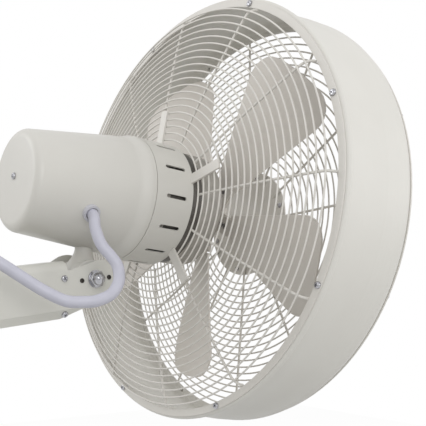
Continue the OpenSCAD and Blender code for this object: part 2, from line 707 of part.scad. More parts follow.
// Terminal block: three ways with screw wells
module terminal_block() color([0.20, 0.20, 0.20]) in_head() translate([-16, elec_y + elec_t, -24]) difference() {
    translate([-21, 0, -9]) cube([42, 16, 18]);
    for (k = [-1:1]) translate([k * 13, 8, 0]) turned() cylinder(h = 10, r = 3.2);
}

// Drum

rim_screw_ring = drum_r - 7;
bead = 3.5;
bead_x = drum_r - bead;
bead_y = band_t + 0.1 + bead;
wall_x = drum_r - 4;
belly = 3.5;
lip = 12.5;
lip_a = 53;
lip_x0 = wall_x + belly + 0.5 - lip;
lip_y = drum_depth - lip * sin(lip_a);
band_in = guard_edge;

// Radius of the drum's outer wall at a depth behind the rear rim: a slight waist, then a belly
function drum_wall_r(t) = let (s = max(0, min(1, (t - 30) / 48)))
    wall_x - 0.6 * sin(180 * min(1, t / 60)) + belly * s * s * (3 - 2 * s);

// Stations run towards the front of the fan
module drum() color(cream) in_head() difference() {
    rotate([90, 0, 0]) rotate_extrude($fn = 128) polygon(concat(
        [[band_in + 0.5, bead_y - bead]],
        arc(bead_x, bead_y, bead, -90, 80, 8),
        [for (t = [11:5:81]) [drum_wall_r(t), t]],
        arc(lip_x0, lip_y, lip, 0, lip_a, 5),
        [[band_in + 0.5, drum_depth], [band_in + 0.5, drum_depth - drum_wall]],
        reversed(arc(lip_x0, lip_y, lip - drum_wall, 0, lip_a - 4, 4)),
        [for (t = [81:-5:11]) [drum_wall_r(t) - drum_wall, t]],
        reversed(arc(bead_x, bead_y, bead - drum_wall, -90, 50, 6)),
        [[band_in + 0.5, bead_y - bead + drum_wall]]));
    for (y = [-4, -drum_depth - 1]) rim_places()
        translate([0, y, 0]) turned() cylinder(h = 3.5, r = pan_shank + screw_gap);
}

module rim_places() for (k = [0:rim_screw_n - 1])
    at_angle(screw_turn + 360 / rim_screw_n * (k + 0.5)) translate([-rim_screw_ring, 0, 0]) children();

// A flat rim band whose rear face is at station y
module band(y) difference() {
    turned() translate([0, 0, y - band_t]) difference() {
        cylinder(h = band_t, r = band_in + band_w, $fn = 128);
        translate([0, 0, -1]) cylinder(h = band_t + 2, r = band_in, $fn = 128);
    }
    rim_places() translate([0, y - band_t - 1, 0]) turned() cylinder(h = band_t + 2, r = pan_shank + screw_gap);
}

module rear_guard_rim() color(cream) in_head() band(0);
module front_guard_rim() color(cream) in_head() band(-drum_depth - 0.1);

module rear_rim_screws() color(chrome) in_head() rim_places() turned() pan_screw(7.5);
module front_rim_screws() color(chrome) in_head()
    rim_places() translate([0, -drum_depth - 0.1 - band_t, 0]) rotate([90, 0, 0]) pan_screw(7.5);

// Nuts of the rear screws; the front ones cut their own thread in the drum's lip
nut_h = 2.8;
module rim_nuts() color(steel) in_head()
    rim_places() translate([0, bead - bead_y - drum_wall - nut_h - seat, 0]) turned() difference() {
        hex(6, nut_h);
        translate([0, 0, -1]) cylinder(h = nut_h + 2, r = pan_shank + seat);
    }

// Guards

ring_out = guard_edge - ring_edge;
front_edge_y = drum_depth + band_t / 2 + 0.1 + (ring_wire + spoke_wire) / 2;
function ring_rad(k) = ring_in + (ring_out - ring_in) * k / (ring_n - 1);
function front_y(r) =
    front_edge_y + sqrt(pow(front_dome, 2) - r * r) - sqrt(pow(front_dome, 2) - guard_edge * guard_edge);

module wire_ring(r, y) translate([0, y, 0]) turned() rotate_extrude($fn = 96) translate([r, 0]) circle(d = ring_wire, $fn = 16);

// A bent wire on the -X side: an arc from angle a0 to a1 off the axis, a wire's step inside the radius R
module bent_wire(middle, R, a0, a1, facets, d = spoke_wire) translate([-middle.x, middle.y, 0]) rotate([0, 0, 90 + a0])
    rotate_extrude(angle = a1 - a0, $fn = facets) translate([R - wire_step, 0]) circle(d = d, $fn = 20);

module rear_guard_rings() color(cream) in_head() for (k = [0:ring_n - 1]) wire_ring(ring_rad(k), rear_y(ring_rad(k)));

// The bend's wire is a hair thinner and starts inside the dome's wire, so that the two fuse
module rear_guard_spokes() color(cream) in_head() for (k = [0:spoke_n - 1])
    at_angle(guard_turn + 360 / spoke_n * k) {
        bent_wire([0, dome_at], rear_dome, asin((ring_in - 2) / rear_dome), bend_a, 720);
        bent_wire(bend_at, guard_bend, bend_a - 2, 90, 64, spoke_wire - 0.04);
    }

module front_guard_rings() color(cream) in_head() for (k = [0:ring_n - 1]) wire_ring(ring_rad(k), -front_y(ring_rad(k)));

module front_guard_spokes() color(cream) in_head() for (k = [0:spoke_n - 1])
    at_angle(guard_turn + 360 / spoke_n * k) mirror([0, 1, 0])
        bent_wire([0, front_edge_y - sqrt(pow(front_dome, 2) - pow(guard_edge, 2))], front_dome,
            asin((disc_r - 12) / front_dome), asin((guard_edge - 0.4) / front_dome), 720);

disc_back = front_y(disc_r - 12) - wire_step + spoke_wire / 2 + seat;
disc_t = 1.5;
rivet_n = 6;

module rivet_places() for (k = [0:rivet_n - 1])
    at_angle(guard_turn + 180 / spoke_n + 360 / rivet_n * k) translate([7 - disc_r, 0, 0]) children();

module front_centre_disc() color(cream) in_head() difference() {
    turned() translate([0, 0, -disc_back - disc_t]) cylinder(h = disc_t, r = disc_r);
    rivet_places() translate([0, -disc_back - 3, 0]) turned() cylinder(h = 6, r = 1.6 + seat);
}

module disc_rivets() color(chrome) in_head() rivet_places() {
    translate([0, -disc_back, 0]) turned() translate([0, 0, 0.02]) cylinder(h = 1, r = 3);
    translate([0, -disc_back - disc_t - 1.02, 0]) turned() cylinder(h = 1, r = 3);
    translate([0, -disc_back - disc_t - 0.5, 0]) turned() cylinder(h = disc_t + 1, r = 1.6);
}

// Rotor

blade_n = 5;
hub_r = 44;
hub_t = 5;
pad_w = 24;
pad_t = 4;
tongue_in = 26;
tongue_out = 66;
tongue_w = 22;
blade_corner = 28;
blade_root = 46;
blade_half = blade_span / 2;

module shaft() color(steel) in_head() turned() translate([0, 0, -blade_y - 22]) cylinder(h = bell_end + 8 + blade_y + 22, r = shaft_r);

module rotor_core() color([0.5, 0.5, 0.5]) in_head() turned() translate([0, 0, stator_y + 1]) difference() {
    cylinder(h = stator_l - 2, r = rotor_r);
    translate([0, 0, -1]) cylinder(h = stator_l, r = shaft_r + 0.03);
}

module blade_spot(k) in_head() at_angle(blade_turn + 360 / blade_n * k)
    translate([0, -blade_y, 0]) rotate([-blade_pitch, 0, 0]) children();

// Hub: a disc with a boss, and one pitched pad for each blade's tongue
module blade_hub() color(cream_dark) difference() {
    union() {
        in_head() turned() translate([0, 0, -blade_y - 16]) cylinder(h = 32, r = 15);
        in_head() turned() translate([0, 0, -blade_y - pad_t - hub_t]) cylinder(h = hub_t, r = 24);
        for (k = [0:blade_n - 1]) blade_spot(k)
            translate([-hub_r, -blade_t / 2 - seat - pad_t, -pad_w / 2]) cube([hub_r - 12, pad_t, pad_w]);
    }
    in_head() turned() translate([0, 0, -blade_y - 20]) cylinder(h = 40, r = shaft_r + 0.03);
    for (k = [0:blade_n - 1]) blade_spot(k) rivet_spots() cylinder(h = 30, r = 2.1, center = true);
}

module rivet_spots() for (r = [30, 38]) translate([-r, 0, 0]) turned() children();

// Paddle outline on the -X side, x along the radius and y along the blade's width
function paddle() = let (c = blade_corner, rt = blade_r - c, tip_a = asin(c / rt))
    concat(
        [[-blade_root, -tan(blade_half) * blade_root]],
        reversed(arc(-rt * cos(blade_half - tip_a), -rt * sin(blade_half - tip_a), c, 180 + blade_half - tip_a, 270 + blade_half, 6)),
        reversed(arc(0, 0, blade_r, 180 - blade_half + tip_a + 2, 180 + blade_half - tip_a - 2, 8)),
        reversed(arc(-rt * cos(blade_half - tip_a), rt * sin(blade_half - tip_a), c, 90 - blade_half, 180 - blade_half + tip_a, 6)),
        [[-blade_root, tan(blade_half) * blade_root]]);

module blade(k) color([0.78, 0.77, 0.75]) blade_spot(k) {
    intersection() {
        rotate([90, 0, 0]) translate([0, 0, -60]) linear_extrude(120) polygon(paddle());
        translate([0, -camber_r, 0]) rotate([0, -90, 0]) difference() {
            cylinder(h = blade_r + 10, r = camber_r + blade_t / 2, $fn = 256);
            translate([0, 0, -1]) cylinder(h = blade_r + 12, r = camber_r - blade_t / 2, $fn = 256);
        }
    }
    difference() {
        translate([-tongue_out, -blade_t / 2, -tongue_w / 2]) cube([tongue_out - tongue_in, blade_t, tongue_w]);
        rivet_spots() cylinder(h = 30, r = 2.1, center = true);
    }
}

module blade_1() blade(0);
module blade_2() blade(1);
module blade_3() blade(2);
module blade_4() blade(3);
module blade_5() blade(4);

module blade_rivets() color(chrome) for (k = [0:blade_n - 1]) blade_spot(k) rivet_spots() {
    translate([0, 0, blade_t / 2 + seat]) cylinder(h = 1.2, r = 3.6);
    translate([0, 0, -blade_t / 2 - 2 * seat - pad_t - 1.2]) cylinder(h = 1.2, r = 3.6);
    translate([0, 0, -blade_t / 2 - pad_t - 1]) cylinder(h = blade_t + pad_t + 2, r = 2);
}

module hub_nut() color(chrome) in_head() turned() translate([0, 0, -blade_y - 16 - seat - 6]) difference() {
    hex(18, 6);
    translate([0, 0, -1]) cylinder(h = 8, r = shaft_r + seat);
}

// Cord: from the grommet down beside the arm, round a hanging loop and up to the wall gland
cord_route = [[-47.4, -312.3, 74.1], [-56.2, -312, 68.8], [-63, -310, 63], [-69, -307, 55], [-76, -307, 43],
    [-80, -310, 34], [-85, -316, 25], [-91, -320, 15], [-96, -319, 2], [-99, -313, -8], [-101, -304, -15],
    [-100, -290, -20], [-96, -279, -21], [-90, -262, -20], [-82, -244, -11], [-75, -229, -1], [-68, -210, 12],
    [-59, -191, 25], [-51, -171, 36], [-42, -149, 47], [-33, -126, 55], [-24, -102, 62], [-16, -83, 64],
    [-14, -72, 64], [-14, -56.1, 64]];
cord_sides = 12;

function unit(v) = v / norm(v);
function along(i) = i == 0 ? unit(cord_route[1] - cord_route[0])
    : i == len(cord_route) - 1 ? unit(cord_route[i] - cord_route[i - 1])
    : unit(unit(cord_route[i + 1] - cord_route[i]) + unit(cord_route[i] - cord_route[i - 1]));
// A ring's first axis is square to the cord and leans towards the world's own X and Z directions
function across(i) = unit(cross(along(i), [0.55, 0.3, 0.78]));
function ring_points(i) = let (a = across(i), b = cross(along(i), a))
    [for (s = [0:cord_sides - 1]) cord_route[i] + cord_d / 2 * (a * cos(360 * s / cord_sides) + b * sin(360 * s / cord_sides))];

module power_cord() color([0.72, 0.72, 0.77]) {
    n = len(cord_route);
    polyhedron(
        points = [for (i = [0:n - 1]) each ring_points(i)],
        faces = concat(
            [[for (s = [0:cord_sides - 1]) s]],
            [for (i = [0:n - 2], s = [0:cord_sides - 1]) let (t = (s + 1) % cord_sides)
                [i * cord_sides + s, (i + 1) * cord_sides + s, (i + 1) * cord_sides + t]],
            [for (i = [0:n - 2], s = [0:cord_sides - 1]) let (t = (s + 1) % cord_sides)
                [i * cord_sides + s, (i + 1) * cord_sides + t, i * cord_sides + t]],
            [[for (s = [cord_sides - 1:-1:0]) (n - 1) * cord_sides + s]]));
}

wall_plate();
arm_foot();
foot_screws();
arm_shell();
arm_bottom_cover();
cover_screws();
fork_plates();
fork_screws();
friction_washers();
pivot_bolt();
pivot_washers();
acorn_nut();
terminal_box();
terminal_lid();
lid_screws();
wall_gland();
power_cord();
neck();
neck_nut();
rear_casing();
rear_screw();
cord_grommet();
vent_ring();
guard_straps();
motor_front_bell();
stator_core();
windings();
motor_rear_bell();
bearings();
motor_bolts();
spacer_sleeves();
electrics_plate();
capacitor();
terminal_block();
drum();
rear_guard_rim();
rear_guard_rings();
rear_guard_spokes();
rear_rim_screws();
rim_nuts();
front_guard_rim();
front_guard_rings();
front_guard_spokes();
front_centre_disc();
disc_rivets();
front_rim_screws();
shaft();
rotor_core();
blade_hub();
blade_1();
blade_2();
blade_3();
blade_4();
blade_5();
blade_rivets();
hub_nut();
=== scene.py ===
"""Looks of a wall fan: detailed pieces, finishes, camera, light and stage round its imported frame."""

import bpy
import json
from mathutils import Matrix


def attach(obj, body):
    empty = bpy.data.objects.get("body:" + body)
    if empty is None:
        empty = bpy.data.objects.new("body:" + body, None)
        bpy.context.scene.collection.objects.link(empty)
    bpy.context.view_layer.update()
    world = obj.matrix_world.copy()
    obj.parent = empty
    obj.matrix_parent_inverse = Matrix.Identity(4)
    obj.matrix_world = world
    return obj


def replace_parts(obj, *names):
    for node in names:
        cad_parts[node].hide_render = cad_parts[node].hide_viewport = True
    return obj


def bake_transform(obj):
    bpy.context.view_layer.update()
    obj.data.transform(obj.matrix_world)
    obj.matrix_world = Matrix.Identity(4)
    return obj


bl_info = {
    "name": "Wall fan",
    "version": (1, 0, 0),
    "blender": (4, 5, 0),
    "location": "3D View > Sidebar > Wall fan",
    "description": "Makes the detailed pieces, the finishes and the stage of a wall fan",
    "category": "Object",
}

import json
import math

import bmesh
import bpy
from mathutils import Matrix, Vector

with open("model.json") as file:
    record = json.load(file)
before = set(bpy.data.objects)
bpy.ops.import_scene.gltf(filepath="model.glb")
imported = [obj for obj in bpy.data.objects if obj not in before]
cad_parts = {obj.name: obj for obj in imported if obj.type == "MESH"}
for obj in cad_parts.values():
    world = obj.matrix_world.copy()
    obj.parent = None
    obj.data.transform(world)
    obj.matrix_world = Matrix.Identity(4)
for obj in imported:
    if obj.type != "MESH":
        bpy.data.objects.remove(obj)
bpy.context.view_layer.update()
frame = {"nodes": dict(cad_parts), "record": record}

MM = 0.001
TURN = 2 * math.pi

# The head frame: origin in the middle of the rear rim, +Y back along the fan's axis, and places in it
RIM = Vector((0, -0.47063, 0.08764))
HEAD_TILT = math.radians(6)
HEAD = Matrix.Translation(RIM) @ Matrix.Rotation(HEAD_TILT, 4, "X")
CASING_SEAM_Y = 87.6 * MM
CASING_WAIST_Y = 109 * MM
CASING_FACE_Y = 222.5 * MM
RIM_SCREW_R = 243 * MM
FRONT_SCREW_Y = -99.7 * MM
SCREW_GAP = 0.02 * MM
NECK_AT = (0, 131 * MM, -99 * MM)

# The arm frame: origin at the tilt pivot, +Y towards the wall along the arm, and places in it
PIVOT = Vector((0, -0.33, 0.0028737))
ARM_RISE = math.radians(7)
ARM = Matrix.Translation(PIVOT) @ Matrix.Rotation(-ARM_RISE, 4, "X")
ARM_HALF = 32 * MM
SIDE_SCREW_BACK = 38 * MM
SIDE_SCREW_UP = 4.5 * MM
BEVEL_SCREW_X = 29.5 * MM
BEVEL_SCREW_BACKS = (41 * MM, 273.4 * MM)
BEVEL_SCREW_Z = -32.93 * MM
BEVEL_LEAN = math.radians(119.2)
FORK_SCREW_BACK = 17 * MM
NUT_ACROSS = 16 * MM
NUT_HEX = 4.5 * MM
NUT_DOME_R = 7.2 * MM
NUT_X = -33.6 * MM

# Route of the cord in metres, from the grommet in the casing to the gland at the wall
CORD_ROUTE = [
    (-0.0474, -0.3123, 0.0741), (-0.0562, -0.312, 0.0688), (-0.063, -0.31, 0.063), (-0.069, -0.307, 0.055),
    (-0.076, -0.307, 0.043), (-0.08, -0.31, 0.034), (-0.085, -0.316, 0.025), (-0.091, -0.32, 0.015),
    (-0.096, -0.319, 0.002), (-0.099, -0.313, -0.008), (-0.101, -0.304, -0.015), (-0.1, -0.29, -0.02),
    (-0.096, -0.279, -0.021), (-0.09, -0.262, -0.02), (-0.082, -0.244, -0.011), (-0.075, -0.229, -0.001),
    (-0.068, -0.21, 0.012), (-0.059, -0.191, 0.025), (-0.051, -0.171, 0.036), (-0.042, -0.149, 0.047),
    (-0.033, -0.126, 0.055), (-0.024, -0.102, 0.062), (-0.016, -0.083, 0.064), (-0.014, -0.072, 0.064),
    (-0.014, -0.0561, 0.064),
]


# Settings

class FanSizes(bpy.types.PropertyGroup):
    """Sizes of the detailed pieces, in metres"""

    cord_d: bpy.props.FloatProperty(
        name="Cord diameter", description="Diameter of the supply cord", default=12 * MM, unit="LENGTH")
    seam_r: bpy.props.FloatProperty(
        name="Casing radius", description="Radius of the casing at its seam",
        default=70.8 * MM, unit="LENGTH")
    waist_r: bpy.props.FloatProperty(
        name="Waist radius", description="Radius of the casing behind its flare",
        default=66.4 * MM, unit="LENGTH")
    tail_r: bpy.props.FloatProperty(
        name="Tail radius", description="Radius of the casing at its rear face",
        default=54 * MM, unit="LENGTH")
    tail_edge: bpy.props.FloatProperty(
        name="Tail rounding", description="Radius of the rounded rear edge", default=10 * MM, unit="LENGTH")
    tail_drop: bpy.props.FloatProperty(
        name="Tail drop", description="Drop of the rear end below the axis", default=4 * MM, unit="LENGTH")
    head_r: bpy.props.FloatProperty(
        name="Screw head", description="Radius of a pan screw's head", default=3.6 * MM, unit="LENGTH")
    head_h: bpy.props.FloatProperty(
        name="Screw height", description="Height of a pan screw's head", default=2.4 * MM, unit="LENGTH")
    rim_screws: bpy.props.IntProperty(
        name="Rim screws", description="Number of screws round each rim", default=8)


class FanColours(bpy.types.PropertyGroup):
    """Colours of the finishes, as sRGB hex values"""

    casing: bpy.props.StringProperty(
        name="Casing", description="Powder coat on the casing and neck", default="D2D0CA")
    arm: bpy.props.StringProperty(
        name="Arm", description="Powder coat on the arm", default="D2D1CA")
    drum: bpy.props.StringProperty(
        name="Drum", description="Powder coat on the drum", default="D9D7D1")
    guard: bpy.props.StringProperty(
        name="Guards", description="Powder coat on the wire guards", default="D8D5CF")
    blade: bpy.props.StringProperty(
        name="Blades", description="Paint on the blades", default="D8D3CC")
    cord: bpy.props.StringProperty(
        name="Cord", description="Sheath of the cord", default="C0C0CC")


def sizes():
    return bpy.context.scene.fan_sizes


def colours():
    return bpy.context.scene.fan_colours


# Materials

def srgb(text):
    """Turns an sRGB hex value into a linear colour"""
    parts = [int(text[i:i + 2], 16) / 255 for i in (0, 2, 4)]
    return [c / 12.92 if c <= 0.04045 else ((c + 0.055) / 1.055) ** 2.4 for c in parts] + [1]


def add_node(tree, kind, inputs=None, **settings):
    """Adds a node, gives it its settings, and sets or links its inputs"""
    node = tree.nodes.new(kind)
    for name, value in settings.items():
        setattr(node, name, value)
    for name, value in (inputs or {}).items():
        if isinstance(value, bpy.types.NodeSocket):
            tree.links.new(value, node.inputs[name])
        else:
            node.inputs[name].default_value = value
    return node


def start_material(name, **values):
    """A new material with one shader; gives the material, its tree, the shader and Object coordinates"""
    material = bpy.data.materials.new(name)
    material.use_nodes = True
    tree = material.node_tree
    shader = tree.nodes["Principled BSDF"]
    for key, value in values.items():
        shader.inputs[key.replace("_", " ")].default_value = value
    spot = add_node(tree, "ShaderNodeTexCoord").outputs["Object"]
    return material, tree, shader, spot


def mottled_colour(tree, shader, spot, colour, grain, spread):
    """Lets the colour wander a little darker and lighter over the given grain, in metres"""
    noise = add_node(tree, "ShaderNodeTexNoise", {"Vector": spot, "Scale": 1 / grain, "Detail": 3.0})
    ramp = add_node(tree, "ShaderNodeValToRGB", {"Fac": noise.outputs["Fac"]})
    low, high = ramp.color_ramp.elements
    low.position = 0.3
    low.color = [c * (1 - spread) for c in colour[:3]] + [1]
    high.position = 0.7
    high.color = [min(1, c * (1 + spread)) for c in colour[:3]] + [1]
    tree.links.new(ramp.outputs["Color"], shader.inputs["Base Color"])


def rough_range(tree, shader, spot, grain, low, high):
    """Lets the roughness wander between two values over the given grain, in metres"""
    noise = add_node(tree, "ShaderNodeTexNoise", {"Vector": spot, "Scale": 1 / grain, "Detail": 2.0})
    fit = add_node(
        tree, "ShaderNodeMapRange", {"Value": noise.outputs["Fac"], "To Min": low, "To Max": high})
    tree.links.new(fit.outputs["Result"], shader.inputs["Roughness"])


def bumps(tree, shader, spot, grain, depth, strength):
    """Raises fine grain on the surface: grain and depth in metres"""
    noise = add_node(tree, "ShaderNodeTexNoise", {"Vector": spot, "Scale": 1 / grain, "Detail": 2.0})
    bump = add_node(
        tree, "ShaderNodeBump", {"Height": noise.outputs["Fac"], "Distance": depth, "Strength": strength})
    tree.links.new(bump.outputs["Normal"], shader.inputs["Normal"])


def powder_coat(name, colour, rough=0.42):
    # Baked powder coat: a soft satin sheen broken by a fine orange peel about 1.5 mm across
    material, tree, shader, spot = start_material(name, IOR=1.5)
    mottled_colour(tree, shader, spot, srgb(colour), 60 * MM, 0.015)
    rough_range(tree, shader, spot, 25 * MM, rough - 0.05, rough + 0.05)
    bumps(tree, shader, spot, 1.5 * MM, 0.05 * MM, 0.25)
    return material


def zinc_plate(name):
    # Bright zinc and chrome plate: a sharp reflection with faint tool marks 0.4 mm apart
    material, tree, shader, spot = start_material(name, Metallic=1.0)
    mottled_colour(tree, shader, spot, srgb("B2B2B6"), 2 * MM, 0.08)
    rough_range(tree, shader, spot, 0.8 * MM, 0.12, 0.26)
    bumps(tree, shader, spot, 0.4 * MM, 0.01 * MM, 0.3)
    return material


def plain_steel(name, colour, rough):
    # Mill steel: a grey metal with a brushed, slightly cloudy surface
    material, tree, shader, spot = start_material(name, Metallic=1.0)
    mottled_colour(tree, shader, spot, srgb(colour), 6 * MM, 0.12)
    rough_range(tree, shader, spot, 1.5 * MM, rough - 0.08, rough + 0.08)
    bumps(tree, shader, spot, 0.3 * MM, 0.02 * MM, 0.3)
    return material


def cast_paint(name, colour):
    # Grey paint over sand-cast aluminium: dull, with a rough skin of 1.2 mm grains
    material, tree, shader, spot = start_material(name, IOR=1.5)
    mottled_colour(tree, shader, spot, srgb(colour), 8 * MM, 0.12)
    rough_range(tree, shader, spot, 4 * MM, 0.5, 0.68)
    bumps(tree, shader, spot, 1.2 * MM, 0.12 * MM, 0.6)
    return material


def lamination_steel(name):
    # Varnished steel laminations, drawn 1 mm apart so that they show, stacked along the fan's axis
    material, tree, shader, spot = start_material(name, Metallic=0.6)
    mottled_colour(tree, shader, spot, srgb("6B6864"), 5 * MM, 0.15)
    along = add_node(
        tree, "ShaderNodeMapping", {"Vector": spot, "Rotation": (HEAD_TILT, 0, 0)},
        vector_type="TEXTURE")
    wave = add_node(
        tree, "ShaderNodeTexWave", {"Vector": along.outputs["Vector"], "Scale": 1 / (1 * MM) / TURN},
        bands_direction="Y")
    bump = add_node(
        tree, "ShaderNodeBump", {"Height": wave.outputs["Fac"], "Distance": 0.1 * MM, "Strength": 0.6})
    tree.links.new(bump.outputs["Normal"], shader.inputs["Normal"])
    rough_range(tree, shader, spot, 3 * MM, 0.4, 0.55)
    return material


def copper_winding(name):
    # Enamelled copper wire: warm brown metal with strands 1 mm thick
    material, tree, shader, spot = start_material(name, Metallic=0.8)
    mottled_colour(tree, shader, spot, srgb("A8602F"), 3 * MM, 0.2)
    rough_range(tree, shader, spot, 2 * MM, 0.25, 0.4)
    bumps(tree, shader, spot, 1 * MM, 0.3 * MM, 0.8)
    return material


def moulded_plastic(name, colour, rough, grain=0.5 * MM):
    # Moulded plastic: even colour and a fine spark-eroded grain
    material, tree, shader, spot = start_material(name, IOR=1.46)
    mottled_colour(tree, shader, spot, srgb(colour), 20 * MM, 0.02)
    rough_range(tree, shader, spot, 5 * MM, rough - 0.05, rough + 0.05)
    bumps(tree, shader, spot, grain, 0.03 * MM, 0.3)
    return material


def cord_sheath(name, colour):
    # Soft PVC sheath: satin, with a faint lengthwise pull of the cores under it
    material, tree, shader, spot = start_material(name, IOR=1.52)
    mottled_colour(tree, shader, spot, srgb(colour), 12 * MM, 0.03)
    rough_range(tree, shader, spot, 6 * MM, 0.34, 0.46)
    bumps(tree, shader, spot, 2.5 * MM, 0.15 * MM, 0.25)
    return material


def fill_slots(piece, material):
    piece.data.materials.clear()
    piece.data.materials.append(material)


# Shared making

def begin():
    return bmesh.new()


def lathe(profile, steps=96, close=True):
    """A surface turned round +Y from (radius, station) pairs in metres"""
    mesh = begin()
    points = [mesh.verts.new((r, y, 0)) for r, y in profile]
    edges = [mesh.edges.new(pair) for pair in zip(points, points[1:])]
    bmesh.ops.spin(
        mesh, geom=points + edges, cent=(0, 0, 0), axis=(0, 1, 0), angle=TURN, steps=steps, use_merge=True)
    bmesh.ops.remove_doubles(mesh, verts=mesh.verts, dist=1e-6)
    if close:
        bmesh.ops.recalc_face_normals(mesh, faces=mesh.faces)
    return mesh


def make_piece(name, mesh, place, body, material, smooth=35):
    """Turns a bmesh into a finished piece that rides on a body"""
    bmesh.ops.transform(mesh, matrix=place, verts=mesh.verts)
    data = bpy.data.meshes.new(name)
    mesh.to_mesh(data)
    mesh.free()
    for face in data.polygons:
        face.use_smooth = True
    data.set_sharp_from_angle(angle=math.radians(smooth))
    piece = bpy.data.objects.new(name, data)
    bpy.context.scene.collection.objects.link(piece)
    data.materials.append(material)
    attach(piece, body)
    return piece


def join_copies(form, places):
    """One bmesh with a copy of a form at each place; the form is freed"""
    source = bpy.data.meshes.new("copy source")
    form.to_mesh(source)
    form.free()
    joined = begin()
    for place in places:
        before = len(joined.verts)
        joined.from_mesh(source)
        joined.verts.ensure_lookup_table()
        bmesh.ops.transform(joined, matrix=place, verts=joined.verts[before:])
    bpy.data.meshes.remove(source)
    return joined


def arc(cx, cy, r, a0, a1, n):
    """Points of an arc in degrees, as (radius, station) pairs"""
    angles = [math.radians(a0 + (a1 - a0) * i / n) for i in range(n + 1)]
    return [(cx + r * math.cos(a), cy + r * math.sin(a)) for a in angles]


def pan_head(r, h):
    """A pan head along +Z with a cross recess, standing on z = 0"""
    crown = h * 0.62
    mesh = begin()
    profile = [(0.64 * r, h)] + arc(r - crown, h - crown, crown, 75, 0, 5) + [(r, 0)]
    points = [mesh.verts.new((x, 0, z)) for x, z in profile]
    edges = [mesh.edges.new(pair) for pair in zip(points, points[1:])]
    bmesh.ops.spin(
        mesh, geom=points + edges, cent=(0, 0, 0), axis=(0, 0, 1), angle=TURN, steps=32, use_merge=True)
    bmesh.ops.remove_doubles(mesh, verts=mesh.verts, dist=1e-7)
    rim = [e for e in mesh.edges if e.is_boundary and all(v.co.xy.length < 0.8 * r for v in e.verts)]
    wide, slim = 0.56 * r, 0.13 * r
    corners = [(wide, -slim), (wide, slim), (slim, slim), (slim, wide), (-slim, wide), (-slim, slim),
               (-wide, slim), (-wide, -slim), (-slim, -slim), (-slim, -wide), (slim, -wide), (slim, -slim)]
    cross = [mesh.verts.new((x, y, h)) for x, y in corners]
    loop = [mesh.edges.new((a, b)) for a, b in zip(cross, cross[1:] + cross[:1])]
    bmesh.ops.bridge_loops(mesh, edges=rim + loop)
    walls = bmesh.ops.extrude_edge_only(mesh, edges=loop)["geom"]
    low = [v for v in walls if isinstance(v, bmesh.types.BMVert)]
    bmesh.ops.translate(mesh, vec=(0, 0, -0.6 * h), verts=low)
    bmesh.ops.scale(mesh, vec=(0.7, 0.7, 1), verts=low)
    bmesh.ops.contextual_create(mesh, geom=low)
    bmesh.ops.recalc_face_normals(mesh, faces=mesh.faces)
    return mesh


def hexagon(across, low, high, ease):
    """A hexagon along +Z between two heights, with eased edges"""
    mesh = begin()
    bmesh.ops.create_cone(
        mesh, cap_ends=True, segments=6, radius1=across / math.sqrt(3), radius2=across / math.sqrt(3),
        depth=high - low, matrix=Matrix.Translation((0, 0, (low + high) / 2)))
    bmesh.ops.bevel(
        mesh, geom=mesh.edges[:], offset=ease, affect="EDGES", segments=3, profile=0.5, material=-1)
    return mesh


def head_screw_places(station, outwards):
    """Places of the rim screws; a pan head's +Z points outwards along the axis"""
    count = sizes().rim_screws
    places = []
    for k in range(count):
        angle = math.radians(360 / count * (k + 0.5))
        spot = Vector((-RIM_SCREW_R * math.cos(angle), station, RIM_SCREW_R * math.sin(angle)))
        flat = Matrix.Rotation(math.radians(-90 if outwards > 0 else 90), 4, "X")
        spun = Matrix.Rotation(angle * 2.3, 4, "Z")
        places.append(Matrix.Translation(spot) @ flat @ spun)
    return places


class FAN_OT_stage(bpy.types.Operator):
    """Makes the camera, the soft light and the pale floor"""

    bl_idname = "fan.stage"
    bl_label = "Camera, light and floor"

    def execute(self, context):
        camera = bpy.data.cameras.new("camera")
        camera.sensor_width = 36
        camera.lens = 62.7
        camera.shift_x = 0.242
        camera.shift_y = 0.220
        camera.clip_start = 0.01
        eye = bpy.data.objects.new("camera", camera)
        look = Vector((0.8477, -0.5302, -0.0184))
        eye.location = (-0.7179, 0.0809, -0.0124)
        eye.rotation_euler = look.to_track_quat("-Z", "Y").to_euler()
        context.scene.collection.objects.link(eye)
        context.scene.camera = eye

        floor = begin()
        bmesh.ops.create_grid(floor, x_segments=1, y_segments=1, size=6)
        bmesh.ops.translate(floor, vec=(0, -0.3, -1.3), verts=floor.verts)
        data = bpy.data.meshes.new("floor")
        floor.to_mesh(data)
        floor.free()
        ground = bpy.data.objects.new("floor", data)
        context.scene.collection.objects.link(ground)
        data.materials.append(floor_paint("White floor"))

        for name, spot, aim, size, power in (
            ("key", (-2.4, 0.7, 0.9), (0, -0.4, 0.05), 1.6, 16),
            ("far", (1.8, 1.4, 1.2), (0, -0.5, 0.0), 1.6, 14),
            ("front", (-1.9, -2.3, 0.6), (0.15, -0.5, 0.0), 1.6, 12),
        ):
            lamp = bpy.data.lights.new(name, "AREA")
            lamp.shape = "DISK"
            lamp.size = size
            lamp.energy = power
            holder = bpy.data.objects.new(name, lamp)
            holder.location = spot
            holder.rotation_euler = (Vector(aim) - Vector(spot)).to_track_quat("-Z", "Y").to_euler()
            context.scene.collection.objects.link(holder)
        white_world(context.scene)
        context.scene.view_settings.view_transform = "Standard"
        return {"FINISHED"}


